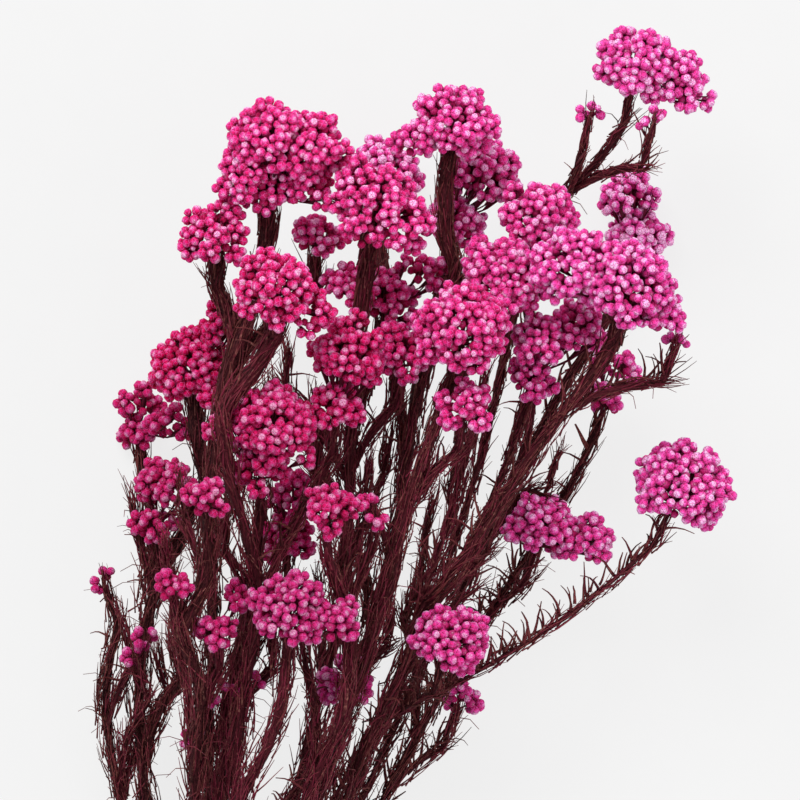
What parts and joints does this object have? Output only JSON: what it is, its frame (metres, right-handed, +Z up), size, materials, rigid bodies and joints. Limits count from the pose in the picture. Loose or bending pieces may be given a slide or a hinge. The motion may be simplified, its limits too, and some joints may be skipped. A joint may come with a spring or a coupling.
{
  "type": "dried rice flower bunch",
  "caption": "Tied bunch of leafy dried stems that fan out and carry domed heads of small round buds, lying on its side.",
  "frame": {"origin": "middle of the bunch's bounding box in plan, on the surface that it lies on", "axes": "+Y from the cut ends to the flower heads, +Z up from the surface, +X to the right seen from above"},
  "size_m": [0.2082, 0.4362, 0.1237],
  "materials": {
    "buds": "dyed papery buds, satin, pink where they catch light and crimson at the base",
    "stems": "matt dark maroon stems clothed in thread-like leaves",
    "twine": "matt natural jute"
  },
  "bodies": {
    "root": {"head_01_a": "buds", "head_01_b": "buds", "head_02_a": "buds", "head_02_b": "buds", "head_02_c": "buds", "head_03_a": "buds", "head_03_b": "buds", "head_03_c": "buds", "head_04_a": "buds", "head_04_b": "buds", "head_04_c": "buds", "head_05_a": "buds", "head_05_b": "buds", "head_06_a": "buds", "head_06_b": "buds", "head_06_c": "buds", "head_07_a": "buds", "head_07_b": "buds", "head_07_c": "buds", "head_08_a": "buds", "head_08_b": "buds", "head_08_c": "buds", "head_09_a": "buds", "head_09_b": "buds", "head_09_c": "buds", "head_10_a": "buds", "head_10_b": "buds", "head_11_a": "buds", "head_11_b": "buds", "head_11_c": "buds", "head_12_a": "buds", "head_12_b": "buds", "head_13_a": "buds", "head_13_b": "buds", "head_13_c": "buds", "head_14_a": "buds", "head_14_b": "buds", "head_15_a": "buds", "head_15_b": "buds", "head_15_c": "buds", "head_16_a": "buds", "head_16_b": "buds", "head_16_c": "buds", "stem_01": "stems", "stem_02": "stems", "stem_03": "stems", "stem_04": "stems", "stem_05": "stems", "stem_06": "stems", "stem_07": "stems", "stem_08": "stems", "stem_09": "stems", "stem_10": "stems", "stem_11": "stems", "stem_12": "stems", "stem_13": "stems", "stem_14": "stems", "stem_15": "stems", "stem_16": "stems", "tie": "twine"}
  },
  "joints": []
}
